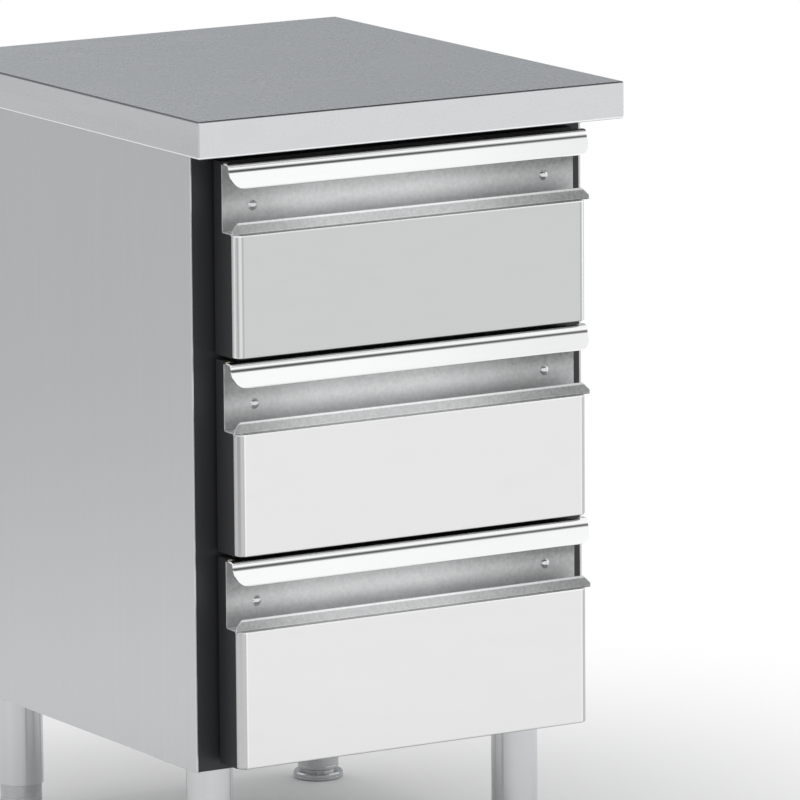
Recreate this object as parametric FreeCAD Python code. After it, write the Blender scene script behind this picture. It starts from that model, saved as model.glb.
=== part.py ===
"""Three-drawer unit of an outdoor kitchen counter, in millimetres.

X runs across the front, Y runs back from the front, Z runs up.
The origin is on the floor, under the middle of the unit.
"""
import FreeCAD, Part
import math
import os

V = FreeCAD.Vector

# Worktop and cabinet
worktop_width = 520.0
worktop_depth = 600.0
worktop_thickness = 40.0
worktop_sheet = 1.2
worktop_edge_radius = 2.5
worktop_return = 14.0
cabinet_width = 480.0
cabinet_sheet = 1.0
cabinet_return = 14.0
cabinet_hem = 3.0
sheet_bend = 0.8
rear_overhang = 10.0
front_setback = 4.0
side_wall = 55.0
back_wall = 50.0
floor_wall = 40.0
liner_sheet = 1.0
frame_thickness = 12.0
top_gap = 9.4

# Legs and feet
leg_height = 150.0
leg_diameter = 50.0
leg_wall = 1.5
leg_plate = 90.0
leg_plate_thickness = 3.0
leg_plate_radius = 6.0
leg_side_inset = 50.0
leg_front_inset = 60.0
leg_rear_inset = 55.0
foot_collar_height = 42.0
foot_collar_diameter = 46.0
foot_pad_diameter = 56.0
foot_pad_height = 8.0
foot_chamfer = 1.5
foot_waist = 3.0
foot_travel = 30.0
stem_diameter = 16.0
stem_fit = 0.08
stem_grip = 20.0
nut_height = 10.0
leg_screw_pitch = 68.0
leg_screw_diameter = 6.0
leg_screw_length = 10.0
leg_screw_head = 11.0
leg_screw_head_height = 3.5

# Drawer fronts
front_width = 430.0
face_height = 130.0
bottom_face_extra = 17.0
grip_height = 74.6
front_gap = 5.4
bottom_margin = 9.0
face_sheet = 1.0
face_return = 10.0
face_side_radius = 9.0
face_edge_radius = 2.0
front_depth = 45.0
cover_wall = 2.5
gasket_inset = 6.0
gasket_width = 10.0
gasket_depth = 7.0
gasket_edge = 1.5
seal_margin = 2.0

# Finger recess and its lip
recess_depth = 28.0
channel_sheet = 1.0
channel_bend = 1.0
lip_setback = 1.0
lip_height = 13.0
lip_lean = 1.8
lip_hem = 4.0
lip_overhang = 3.5
lip_mitre = 8.0

# Grip
grip_sheet = 1.8
grip_overhang = 4.0
grip_nose_setback = 6.0
grip_nose_height = 8.1
grip_nose_lean = 1.4
grip_nose_depth = 10.0
grip_nose_radius = 2.5
grip_crease_radius = 8.0
grip_proud = 3.5
grip_lip_rise = 50.0
grip_corner_radius = 13.0
grip_rear_bend = 1.5
grip_leg_rise = 18.0
grip_leg_inset = 5.0
grip_edge_radius = 0.8

# Rivets through the recess plate, and screws through the drawer box
rivet_pitch = 357.0
rivet_rise = 26.0
rivet_head = 11.0
rivet_dome = 3.0
rivet_shank = 5.0
rivet_tail = 8.0
rivet_tail_height = 2.0
screw_diameter = 4.0
screw_length = 14.0
screw_head = 8.0
screw_head_height = 2.5
screw_spread = 240.0
screw_low = 30.0
screw_high = 105.0
hole_play = 0.2

# Drawer boxes
box_height = 135.0
box_rear_gap = 26.0
box_sheet = 1.0
box_corner = 4.0
box_hem = 5.0
box_lift = 8.0

# Telescopic runners
rail_start = 66.0
rail_rear_gap = 20.0
rail_height = 45.0
rail_width = 12.7
rail_sheet = 1.2
rail_bend = 0.5
rail_flange = 9.5
middle_web = 4.0
middle_short = 0.2
inner_flange = 6.1
ball_diameter = 4.0
ball_play = 0.15
cage_length = 120.0
cage_sheet = 0.8
cage_play = 0.3
outer_cage_web = 2.2
outer_cage_reach = 9.0
outer_ball_line = 7.0
inner_cage_reach = 11.0
inner_ball_line = 9.0
balls_per_row = 4
post_width = 25.0
post_depth = 8.0
post_sheet = 1.5
post_front_inset = 26.0
post_rear_inset = 24.0
slot_width = 6.0
slot_height = 14.0
slots_per_drawer = 6
hook_width = 4.0
hook_height = 8.0
hook_reach = 2.0

# Places that follow from the sizes above
drawer_names = ["bottom", "middle", "top"]
front_pitch = face_height + grip_height + front_gap
worktop_front = -worktop_depth / 2
face_y = worktop_front + front_setback
cover_y = face_y + front_depth
frame_y = cover_y + gasket_depth
frame_rear = frame_y + frame_thickness
back_y = worktop_depth / 2 - rear_overhang
base_z = leg_height
first_front_z = base_z + bottom_margin
cabinet_top = first_front_z + bottom_face_extra + len(drawer_names) * front_pitch - front_gap + top_gap
worktop_top = cabinet_top + worktop_thickness
cavity_half = cabinet_width / 2 - side_wall
cavity_back = back_y - back_wall
cavity_floor = base_z + floor_wall
window_margin = gasket_inset + gasket_width + seal_margin
cavity_ceiling = cabinet_top - top_gap - window_margin
plate_y = face_y + recess_depth
rail_wall = cavity_half - post_depth
box_half = rail_wall - rail_width
box_end = cavity_back - box_rear_gap
rail_front = face_y + rail_start
rail_end = cavity_back - rail_rear_gap

# Tolerance of edge tests, and how far a cutting tool runs past a face
tiny = 0.01
past = 1.0

BACK = V(0, 1, 0)
UP = V(0, 0, 1)
AXES = {"xy": UP, "yz": V(1, 0, 0), "xz": BACK}


def block(x0, x1, y0, y1, z0, z1):
    """Box between two corners."""
    return Part.makeBox(x1 - x0, y1 - y0, z1 - z0, V(x0, y0, z0))


def rod(diameter, start, direction, length):
    """Cylinder from a point along a direction."""
    return Part.makeCylinder(diameter / 2, length, start, direction)


def both_sides(shape):
    """A right-hand shape and its mirror image on the left."""
    return [shape, shape.mirror(V(0, 0, 0), V(1, 0, 0))]


def cut_all(shape, tools):
    """Shape with every tool cut away."""
    for tool in tools:
        shape = shape.cut(tool)
    return shape


def in_plane(plane, first, second, along):
    """Point of a profile in the xy, yz or xz plane."""
    if plane == "xy":
        return V(first, second, along)
    if plane == "yz":
        return V(along, first, second)
    return V(first, along, second)


def prism(points, radii, plane, start, end):
    """Closed outline with rounded corners, drawn in a plane and extruded square to it."""
    corners = [in_plane(plane, first, second, start) for first, second in points]
    edges = []
    ends = []
    for index, corner in enumerate(corners):
        back = (corners[index - 1] - corner).normalize()
        ahead = (corners[(index + 1) % len(corners)] - corner).normalize()
        half_angle = back.getAngle(ahead) / 2
        radius = radii[index]
        if radius == 0:
            ends.append((corner, corner))
            continue
        reach = radius / math.tan(half_angle)
        bisector = (back + ahead).normalize()
        middle = corner + bisector * (radius / math.sin(half_angle) - radius)
        ends.append((corner + back * reach, corner + ahead * reach))
        edges.append(Part.Arc(ends[-1][0], middle, ends[-1][1]).toShape())
    for index, (arrive, _) in enumerate(ends):
        leave = ends[index - 1][1]
        if leave.distanceToPoint(arrive) > tiny:
            edges.append(Part.LineSegment(leave, arrive).toShape())
    wire = Part.Wire(Part.__sortEdges__(edges))
    return Part.Face(wire).extrude(AXES[plane] * (end - start))


def bent_sheet(path, bends, thickness, plane, start, end):
    """Folded sheet whose outer skin follows a path, with the metal on the path's left."""
    steps = [V(b[0] - a[0], b[1] - a[1], 0).normalize() for a, b in zip(path, path[1:])]
    lefts = [V(-step.y, step.x, 0) for step in steps]
    inner = [V(*path[0], 0) + lefts[0] * thickness]
    skin_radii = [0]
    inner_radii = [0]
    for index in range(1, len(path) - 1):
        before = lefts[index - 1]
        after = lefts[index]
        shift = (before + after) * (thickness / (1 + before.dot(after)))
        inner.append(V(*path[index], 0) + shift)
        turns_left = steps[index - 1].cross(steps[index]).z > 0
        bend = bends[index - 1]
        skin_radii.append(bend + thickness if turns_left else bend)
        inner_radii.append(bend if turns_left else bend + thickness)
    inner.append(V(*path[-1], 0) + lefts[-1] * thickness)
    skin_radii.append(0)
    inner_radii.append(0)
    points = list(path) + [(point.x, point.y) for point in reversed(inner)]
    return prism(points, skin_radii + inner_radii[::-1], plane, start, end)


def front_levels(name):
    """Bottom of the face, top of the face and top of the grip of one drawer."""
    step = drawer_names.index(name)
    bend = first_front_z + bottom_face_extra + face_height + step * front_pitch
    low = first_front_z if step == 0 else bend - face_height
    return low, bend, bend + grip_height


def window_top(name):
    """Underside of the frame bar above one drawer."""
    return front_levels(name)[2] - window_margin


def box_floor(name):
    """Underside of one drawer box."""
    return window_top(name) - (front_pitch - front_gap - 2 * window_margin) + box_lift


def rail_level(name):
    """Middle of one drawer's runners."""
    return box_floor(name) + box_height / 2


def round_edges(shape, radius, test):
    """Fillet the edges whose bounding box passes a test."""
    return shape.makeFillet(radius, [edge for edge in shape.Edges if test(edge.BoundBox)])


def pan_block(inset, low, bend):
    """Outside or inside of the face pan, with its rounded front edges."""
    half = front_width / 2 - inset
    front = face_y + inset
    pan = block(-half, half, front, face_y + face_return, low + inset, bend - inset)
    pan = round_edges(pan, face_side_radius - inset,
                      lambda box: box.YMax < front + tiny and box.XLength < tiny)
    return round_edges(pan, face_edge_radius - inset,
                       lambda box: box.YMax < front + tiny and box.ZLength < tiny
                       and box.XLength > face_side_radius)


def face_pan(low, bend):
    """Steel face with short returns on all four sides."""
    return pan_block(0, low, bend).cut(pan_block(face_sheet, low, bend))


def grip_channel(bend, top):
    """Lip, floor and back plate of the finger recess, folded from one sheet."""
    lip_y = face_y + lip_setback
    rear = plate_y + channel_sheet
    plate_top = top - grip_sheet - grip_rear_bend
    path = [(lip_y + lip_lean, bend + lip_height), (lip_y, bend), (rear, bend), (rear, plate_top)]
    half = front_width / 2 + lip_overhang
    sheet = bent_sheet(path, [channel_bend, channel_bend], channel_sheet, "yz", -half, half)
    hem_y = lip_y + lip_lean + channel_sheet
    lean = lip_lean / lip_height
    hem = [(hem_y, bend + lip_height), (hem_y - lean * lip_hem, bend + lip_height - lip_hem),
           (hem_y + channel_sheet - lean * lip_hem, bend + lip_height - lip_hem),
           (hem_y + channel_sheet, bend + lip_height)]
    sheet = sheet.fuse(prism(hem, [0, 0, 0, 0], "yz", -half, half)).removeSplitter()
    lip_top = bend + lip_height
    corner = [(half, lip_top - lip_mitre), (half + past, lip_top - lip_mitre), (half + past, lip_top + past),
              (half - lip_mitre, lip_top + past), (half - lip_mitre, lip_top)]
    wedge = prism(corner, [0] * len(corner), "xz", face_y, hem_y + 2 * channel_sheet)
    floor_end = block(front_width / 2, half + past, hem_y + channel_sheet, rear + past, bend - past, top)
    sheet = cut_all(sheet, both_sides(wedge) + both_sides(floor_end))
    holes = [rod(rivet_shank + 2 * hole_play, V(side * rivet_pitch / 2, plate_y - past, bend + rivet_rise),
                 BACK, channel_sheet + 2 * past) for side in (-1, 1)]
    return cut_all(sheet, holes)


def grip(bend, top):
    """Curved pull that rolls over the recess and leans out to its lower lip."""
    rear = plate_y + channel_sheet + grip_sheet
    nose = face_y + grip_nose_setback
    lip = (face_y - grip_proud, bend + grip_lip_rise)
    path = [(rear, bend + grip_leg_rise), (rear, top), (nose + grip_nose_lean, top),
            (nose, top - grip_nose_height), lip]
    half = front_width / 2 + grip_overhang
    bends = [grip_rear_bend, grip_nose_radius, grip_crease_radius]
    sheet = bent_sheet(path, bends, grip_sheet, "yz", -half, half)
    sheet = round_edges(sheet, grip_edge_radius,
                        lambda box: box.XLength > front_width and box.YMax < lip[0] + tiny)
    corner_x = half - grip_corner_radius
    corner_z = lip[1] + grip_corner_radius
    square = block(corner_x, half + past, lip[0] - past, nose + grip_sheet + past, lip[1] - 2 * grip_sheet,
                   corner_z)
    disc = rod(2 * grip_corner_radius, V(corner_x, lip[0] - past, corner_z), BACK, recess_depth)
    sheet = cut_all(sheet, both_sides(square.cut(disc)))
    leg_half = front_width / 2 - grip_leg_inset
    spare = block(leg_half, half + past, nose + grip_nose_depth, rear + past, bend, top + past)
    sheet = cut_all(sheet, both_sides(spare))
    holes = [rod(rivet_shank + 2 * hole_play, V(side * rivet_pitch / 2, plate_y, bend + rivet_rise),
                 BACK, rear - plate_y + past) for side in (-1, 1)]
    return cut_all(sheet, holes)


def rivet(side, bend):
    """Dome-headed rivet through the recess plate and the grip's rear leg."""
    centre = V(side * rivet_pitch / 2, plate_y, bend + rivet_rise)
    grip_back = channel_sheet + grip_sheet
    head_radius = rivet_head / 2
    ball_radius = (head_radius ** 2 + rivet_dome ** 2) / (2 * rivet_dome)
    ball = Part.makeSphere(ball_radius, centre + V(0, ball_radius - rivet_dome, 0))
    dome = ball.common(rod(rivet_head + past, centre - V(0, rivet_dome, 0), BACK, rivet_dome))
    shank = rod(rivet_shank, centre - V(0, rivet_dome / 2, 0), BACK, grip_back + rivet_dome)
    tail = rod(rivet_tail, centre + V(0, grip_back, 0), BACK, rivet_tail_height)
    return dome.fuse(shank).fuse(tail).removeSplitter()


def rivet_pockets(bend):
    """Room in the foam for the tails of the rivets."""
    depth = channel_sheet + grip_sheet + rivet_tail_height + hole_play
    return [rod(rivet_tail + 2 * hole_play, V(side * rivet_pitch / 2, plate_y, bend + rivet_rise),
                BACK, depth) for side in (-1, 1)]


def cover_outline(low, bend, top):
    """Side view of the space behind the face, from its returns back to the inner cover."""
    front = face_y + face_return
    rear = plate_y + channel_sheet
    leg_y = rear + grip_sheet
    under = top - grip_sheet
    return [(front, low), (cover_y, low), (cover_y, top), (leg_y, top), (leg_y, under), (rear, under),
            (rear, bend), (front, bend)]


def cover_hollow(low, bend, top):
    """Inside of the plastic inner cover, with room for the grip's rear leg."""
    half = front_width / 2 - cover_wall
    leg_y = plate_y + channel_sheet + grip_sheet
    inner_y = cover_y - cover_wall
    front = face_y + face_return - past
    outline = [(front, low + cover_wall), (inner_y, low + cover_wall),
               (inner_y, top - cover_wall), (leg_y, top - cover_wall), (leg_y, top + past),
               (plate_y, top + past), (plate_y, bend), (front, bend)]
    return prism(outline, [0] * len(outline), "yz", -half, half)


def box_screw_places(name):
    """Centres of the four screws between drawer box and front."""
    floor = box_floor(name)
    heights = (floor + screw_low, floor + screw_high)
    return [V(side * screw_spread / 2, cover_y + box_sheet, z) for side in (-1, 1) for z in heights]


def box_screw_holes(name):
    """Clearance holes for the box screws."""
    return [rod(screw_diameter + 2 * hole_play, place - V(0, screw_length + hole_play, 0), BACK,
                screw_length + 2 * hole_play) for place in box_screw_places(name)]


def inner_cover(name):
    """Black plastic sides and back of a drawer front."""
    low, bend, top = front_levels(name)
    half = front_width / 2
    outline = cover_outline(low, bend, top)
    shell = prism(outline, [0] * len(outline), "yz", -half, half)
    return cut_all(shell.cut(cover_hollow(low, bend, top)), box_screw_holes(name))


def front_core(name, fitted):
    """Foam that fills a drawer front around the parts fitted in it."""
    low, bend, top = front_levels(name)
    half = front_width / 2
    outline = cover_outline(low, bend, top)
    behind = prism(outline, [0] * len(outline), "yz", -half, half).common(cover_hollow(low, bend, top))
    foam = behind.fuse(pan_block(face_sheet, low, bend)).removeSplitter()
    return cut_all(foam, fitted + rivet_pockets(bend) + box_screw_holes(name))


def gasket(name):
    """Rubber seal round the back of a drawer front."""
    low, _, top = front_levels(name)
    half = front_width / 2 - gasket_inset
    ring = block(-half, half, cover_y, frame_y, low + gasket_inset, top - gasket_inset)
    inner = half - gasket_width
    hole = block(-inner, inner, cover_y - past, frame_y + past, low + gasket_inset + gasket_width,
                 top - gasket_inset - gasket_width)
    ring = ring.cut(hole)
    return round_edges(ring, gasket_edge,
                       lambda box: box.YMin > frame_y - tiny and max(box.XLength, box.ZLength) > gasket_width
                       and (box.XLength > 2 * inner + tiny or abs(box.XMin) > inner + tiny))


def drawer_box(name):
    """Open-topped folded steel box with a hemmed rim."""
    floor = box_floor(name)
    rim = floor + box_height

    def tub(inset, bottom, top):
        half = box_half - inset
        shape = block(-half, half, cover_y + inset, box_end - inset, bottom, top)
        return round_edges(shape, box_corner - inset, lambda box: box.ZLength > box_corner)

    shell = tub(0, floor, rim).cut(tub(box_sheet, floor + box_sheet, rim + past))
    hem = tub(box_sheet / 2, rim - box_hem, rim).cut(tub(2 * box_sheet, rim - box_hem - past, rim + past))
    return cut_all(shell.fuse(hem).removeSplitter(), box_screw_holes(name))


def box_screws(name):
    """Pan-head screws that hold the box to its front."""
    screws = []
    for place in box_screw_places(name):
        head = rod(screw_head, place, BACK, screw_head_height)
        head = round_edges(head, screw_head_height / 2, lambda box: box.YMin > place.y + tiny
                           and box.YLength < tiny and box.XLength > screw_diameter)
        shank = rod(screw_diameter, place - V(0, screw_length, 0), BACK, screw_length + past)
        screws.append(head.fuse(shank).removeSplitter())
    return screws


def rail_halves():
    """Half heights of the outer, middle and inner runner members."""
    step = rail_sheet + ball_diameter + 2 * ball_play
    outer = rail_height / 2
    return outer, outer - step, outer - 2 * step


def rail_member(level, half, web, tip):
    """One channel-shaped member: its web and flange tips are distances from the cabinet side."""
    sign = -1 if tip > web else 1
    web_x = rail_wall - web
    tip_x = rail_wall - tip
    corners = [(tip_x, level + sign * half), (web_x, level + sign * half),
               (web_x, level - sign * half), (tip_x, level - sign * half)]
    return bent_sheet(corners, [rail_bend, rail_bend], rail_sheet, "xz", rail_front, rail_end)


def hook_places():
    """Places along the runners at which the uprights stand."""
    return [rail_front + post_front_inset, rail_end - post_rear_inset]


def outer_rails(name):
    """Cabinet members of one pair of runners, hooked into the uprights."""
    level = rail_level(name)
    rail = rail_member(level, rail_halves()[0], 0, rail_flange)
    for y in hook_places():
        hook = block(rail_wall - tiny, rail_wall + post_sheet + hook_reach, y - hook_width / 2,
                     y + hook_width / 2, level - hook_height / 2, level + hook_height / 2)
        rail = rail.fuse(hook)
    return both_sides(rail.removeSplitter())


def middle_rails(name):
    """Intermediate members of one pair of runners."""
    return both_sides(rail_member(rail_level(name), rail_halves()[1], middle_web,
                                  rail_width - middle_short))


def inner_rails(name):
    """Drawer members of one pair of runners."""
    return both_sides(rail_member(rail_level(name), rail_halves()[2], rail_width,
                                  rail_width - inner_flange))


def ball_cages(name, half, web, reach, ball_line):
    """Cage strips and balls that run on the flanges of one member."""
    level = rail_level(name)
    row = half + ball_play + ball_diameter / 2
    edge = row + cage_sheet / 2
    web_x = rail_wall - web
    tip_x = rail_wall - reach
    start = (rail_front + rail_end - cage_length) / 2
    corners = [(tip_x, level - edge), (web_x, level - edge), (web_x, level + edge), (tip_x, level + edge)]
    cage = bent_sheet(corners, [cage_sheet / 2] * 2, cage_sheet, "xz", start, start + cage_length)
    spacing = cage_length / balls_per_row
    balls = []
    for count in range(balls_per_row):
        for side in (-1, 1):
            centre = V(rail_wall - ball_line, start + spacing * (count + 0.5), level + side * row)
            pocket = rod(ball_diameter + 2 * hole_play, centre - V(0, 0, cage_sheet), UP,
                         2 * cage_sheet)
            cage = cage.cut(pocket)
            balls.append(Part.makeSphere(ball_diameter / 2, centre))
    return [piece for solid in [cage] + balls for piece in both_sides(solid)]


def outer_cages(name):
    """Ball cages between the cabinet and middle members."""
    return ball_cages(name, rail_halves()[1], outer_cage_web, outer_cage_reach, outer_ball_line)


def inner_cages(name):
    """Ball cages between the middle and drawer members."""
    web = middle_web + rail_sheet + cage_play
    return ball_cages(name, rail_halves()[2], web, inner_cage_reach, inner_ball_line)


def rail_posts():
    """Four slotted uprights that carry the runners."""
    posts = []
    for y in hook_places():
        near = y - post_width / 2
        far = y + post_width / 2
        path = [(cavity_half, far), (rail_wall, far), (rail_wall, near), (cavity_half, near)]
        post = bent_sheet(path, [sheet_bend] * 2, post_sheet, "xy", cavity_floor, cavity_ceiling)
        pitch = front_pitch / slots_per_drawer
        level = rail_level(drawer_names[0])
        level -= pitch * math.floor((level - cavity_floor - slot_height) / pitch)
        while level < cavity_ceiling - slot_height:
            slot = block(rail_wall - past, rail_wall + post_sheet + tiny, y - slot_width / 2,
                         y + slot_width / 2, level - slot_height / 2, level + slot_height / 2)
            post = post.cut(slot)
            level += pitch
        posts += both_sides(post)
    return posts


def side_panel():
    """Right-hand outer side, hemmed at the front and folded round the back edge."""
    outer = cabinet_width / 2
    hem = outer - cabinet_hem
    path = [(hem, frame_rear), (hem, frame_y), (outer, frame_y), (outer, back_y), (outer - cabinet_return, back_y)]
    return bent_sheet(path, [0, 0, 0], cabinet_sheet, "xy", base_z, cabinet_top)


def cabinet_sheet_panel(low, high):
    """Flat sheet across the cabinet between two heights."""
    half = cabinet_width / 2 - cabinet_sheet
    return block(-half, half, frame_rear, back_y - 2 * cabinet_sheet, low, high)


def base_panel():
    """Bottom sheet of the cabinet, drilled for the leg screws."""
    sheet = cabinet_sheet_panel(base_z, base_z + cabinet_sheet)
    return cut_all(sheet, leg_screw_holes())


def top_panel():
    """Top sheet of the cabinet, under the worktop."""
    return cabinet_sheet_panel(cabinet_top - cabinet_sheet, cabinet_top)


def back_panel():
    """Rear sheet of the cabinet, inside the side panels' returns."""
    half = cabinet_width / 2 - cabinet_sheet
    rear = back_y - cabinet_sheet
    return block(-half, half, rear - cabinet_sheet, rear, base_z, cabinet_top)


def front_frame():
    """Black plastic frame round the drawer openings, between the side panels' hems."""
    half = cabinet_width / 2 - cabinet_hem
    ring = block(-half, half, frame_y, frame_rear, base_z, cabinet_top)
    window = block(-cavity_half, cavity_half, frame_y - past, frame_rear + past, cavity_floor, cavity_ceiling)
    return ring.cut(window)


def transoms():
    """Hollow frame bars behind the joints between the drawer fronts."""
    bars = []
    for name in drawer_names[:-1]:
        low = window_top(name)
        high = front_levels(name)[2] + front_gap + window_margin
        bar = block(-cavity_half, cavity_half, frame_y, frame_rear, low, high)
        core = block(-cavity_half - past, cavity_half + past, frame_y + cover_wall,
                     frame_rear - cover_wall, low + cover_wall, high - cover_wall)
        bars.append(bar.cut(core))
    return bars


def cavity_block(skin):
    """Inside of the cabinet, grown by a skin on every side but the front."""
    return block(-cavity_half - skin, cavity_half + skin, frame_rear, cavity_back + skin,
                 cavity_floor - skin, cavity_ceiling + skin)


def inner_liner():
    """Sheet lining of the cabinet, open at the front."""
    return cavity_block(liner_sheet).cut(cavity_block(0))


def insulation():
    """Foam between the outer panels and the lining."""
    half = cabinet_width / 2 - cabinet_sheet
    low = base_z + cabinet_sheet
    high = cabinet_top - cabinet_sheet
    foam = block(-half, half, frame_rear, back_y - 2 * cabinet_sheet, low, high)
    return cut_all(foam, [cavity_block(liner_sheet)] + leg_screw_holes())


def worktop_inside():
    """Space inside the worktop's steel skin."""
    half_x = worktop_width / 2 - worktop_sheet
    half_y = worktop_depth / 2 - worktop_sheet
    slab = block(-half_x, half_x, -half_y, half_y, cabinet_top + worktop_sheet, worktop_top - worktop_sheet)
    mouth_x = worktop_width / 2 - worktop_return
    mouth_y = worktop_depth / 2 - worktop_return
    mouth = block(-mouth_x, mouth_x, -mouth_y, mouth_y, cabinet_top, cabinet_top + worktop_sheet)
    return slab.fuse(mouth).removeSplitter()


def worktop_skin():
    """Steel worktop folded down on all sides and back under its edges."""
    half_x = worktop_width / 2
    half_y = worktop_depth / 2
    slab = block(-half_x, half_x, -half_y, half_y, cabinet_top, worktop_top)
    slab = round_edges(slab, worktop_edge_radius, lambda box: True)
    return slab.cut(worktop_inside())


def leg_places():
    """Name and centre of each leg."""
    side_x = cabinet_width / 2 - leg_side_inset
    front = frame_y + leg_front_inset
    rear = back_y - leg_rear_inset
    return {"front_left": V(-side_x, front, 0), "front_right": V(side_x, front, 0),
            "rear_left": V(-side_x, rear, 0), "rear_right": V(side_x, rear, 0)}


def leg_screw_places():
    """Centres of the screws that hold the leg plates, at the plates' undersides."""
    reach = leg_screw_pitch / 2
    under = V(0, 0, base_z - leg_plate_thickness)
    return [leg + under + V(x, y, 0) for leg in leg_places().values()
            for x in (-reach, reach) for y in (-reach, reach)]


def leg_screw_holes():
    """Clearance holes for the leg screws."""
    return [rod(leg_screw_diameter + 2 * hole_play, place - V(0, 0, past), UP,
                leg_screw_length + past + hole_play) for place in leg_screw_places()]


def leg_screws():
    """Button-head screws through the leg plates."""
    screws = []
    for place in leg_screw_places():
        shank = rod(leg_screw_diameter, place - V(0, 0, past), UP, leg_screw_length + past)
        head = rod(leg_screw_head, place - V(0, 0, leg_screw_head_height), UP, leg_screw_head_height)
        head = round_edges(head, leg_screw_head_height / 2,
                           lambda box: box.ZMax < place.z - leg_screw_head_height + tiny)
        screws.append(head.fuse(shank).removeSplitter())
    return screws


def leg(place):
    """Mounting plate, tube and threaded end of one leg."""
    top = base_z - leg_plate_thickness
    half = leg_plate / 2
    plate = block(place.x - half, place.x + half, place.y - half, place.y + half, top, base_z)
    plate = round_edges(plate, leg_plate_radius, lambda box: box.ZLength > tiny)
    bottom = place + V(0, 0, foot_collar_height)
    tube = rod(leg_diameter, bottom, UP, top - foot_collar_height)
    hollow = rod(leg_diameter - 2 * leg_wall, bottom + V(0, 0, nut_height), UP,
                 top - foot_collar_height - nut_height)
    bore = rod(stem_diameter + 2 * stem_fit, bottom - V(0, 0, past), UP, nut_height + 2 * past)
    shape = plate.fuse(tube.cut(hollow)).removeSplitter().cut(bore)
    return cut_all(shape, leg_screw_holes())


def foot(place):
    """Levelling foot: pad, waist, collar and stem."""
    pad = rod(foot_pad_diameter, place, UP, foot_pad_height)
    pad = pad.makeChamfer(foot_chamfer, [edge for edge in pad.Edges if edge.BoundBox.ZLength < tiny])
    waist = rod(foot_collar_diameter - 2 * foot_waist, place + V(0, 0, foot_pad_height - past), UP,
                foot_waist + 2 * past)
    collar_low = foot_pad_height + foot_waist
    collar = rod(foot_collar_diameter, place + V(0, 0, collar_low), UP, foot_collar_height - collar_low)
    collar = round_edges(collar, foot_chamfer, lambda box: box.ZMax < collar_low + tiny)
    stem = rod(stem_diameter, place + V(0, 0, collar_low), UP,
               foot_collar_height - collar_low + nut_height + foot_travel + stem_grip)
    return pad.fuse(waist).fuse(collar).fuse(stem).removeSplitter()


def drawer_pieces(name):
    """Every node of one drawer, its runners included."""
    low, bend, top = front_levels(name)
    pan = face_pan(low, bend)
    channel = grip_channel(bend, top)
    pull = grip(bend, top)
    return {
        "face": [pan],
        "grip_channel": [channel],
        "grip": [pull],
        "rivets": [rivet(side, bend) for side in (-1, 1)],
        "front_core": [front_core(name, [channel, pull])],
        "inner_cover": [inner_cover(name)],
        "gasket": [gasket(name)],
        "box": [drawer_box(name)],
        "box_screws": box_screws(name),
        "inner_rails": inner_rails(name),
        "middle_rails": middle_rails(name),
        "outer_rails": outer_rails(name),
        "inner_cages": inner_cages(name),
        "outer_cages": outer_cages(name),
    }


def cabinet_pieces():
    """Every node of the cabinet, worktop and legs."""
    right = side_panel()
    legs = leg_places()
    pieces = {
        "worktop_skin": [worktop_skin()],
        "worktop_core": [worktop_inside()],
        "side_panel_right": [right],
        "side_panel_left": [right.mirror(V(0, 0, 0), V(1, 0, 0))],
        "back_panel": [back_panel()],
        "base_panel": [base_panel()],
        "top_panel": [top_panel()],
        "front_frame": [front_frame()],
        "transoms": transoms(),
        "insulation": [insulation()],
        "inner_liner": [inner_liner()],
        "rail_posts": rail_posts(),
        "legs": [leg(place) for place in legs.values()],
        "leg_screws": leg_screws(),
    }
    for name, place in legs.items():
        pieces["foot_" + name] = [foot(place)]
    return pieces


def write_parts():
    """Write one file for each node."""
    os.makedirs("parts", exist_ok=True)
    nodes = cabinet_pieces()
    for name in drawer_names:
        for piece, solids in drawer_pieces(name).items():
            nodes[name + "_drawer_" + piece] = solids
    for node, solids in nodes.items():
        Part.makeCompound(solids).exportStep("parts/" + node + ".step")
        faulty = [solid for solid in solids if not solid.isValid()]
        print(node, len(solids), "solids", len(faulty), "faulty")


write_parts()
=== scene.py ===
"""Look of the three-drawer outdoor kitchen unit: finishes, small fittings, studio and camera, in metres."""
import logging
import math
from dataclasses import dataclass, replace
from enum import Enum
from functools import cached_property
from typing import Iterable, Sequence, Union

import bmesh
import bpy
from mathutils import Matrix, Vector


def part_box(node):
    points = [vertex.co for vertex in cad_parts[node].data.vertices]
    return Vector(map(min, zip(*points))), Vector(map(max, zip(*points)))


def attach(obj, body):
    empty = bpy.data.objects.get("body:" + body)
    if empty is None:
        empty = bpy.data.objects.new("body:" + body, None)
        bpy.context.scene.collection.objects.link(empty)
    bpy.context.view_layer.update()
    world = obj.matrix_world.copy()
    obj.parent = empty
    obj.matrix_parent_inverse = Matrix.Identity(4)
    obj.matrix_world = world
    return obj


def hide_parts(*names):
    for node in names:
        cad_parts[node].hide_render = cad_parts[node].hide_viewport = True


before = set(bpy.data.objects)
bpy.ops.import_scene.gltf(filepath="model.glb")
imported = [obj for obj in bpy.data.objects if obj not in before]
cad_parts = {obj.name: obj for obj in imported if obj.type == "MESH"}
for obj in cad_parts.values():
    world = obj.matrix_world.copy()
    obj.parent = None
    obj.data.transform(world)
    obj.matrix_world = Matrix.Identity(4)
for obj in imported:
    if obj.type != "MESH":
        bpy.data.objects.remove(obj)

LOG = logging.getLogger("drawer_unit")
CABINET = "cabinet"
MM = 0.001
QUARTER = math.pi / 2

Triple = tuple[float, float, float]
Item, Node, Socket, Tree = bpy.types.Object, bpy.types.Node, bpy.types.NodeSocket, bpy.types.NodeTree
Corner = bmesh.types.BMVert
Wire = Union[Socket, float, Sequence[float]]

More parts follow.
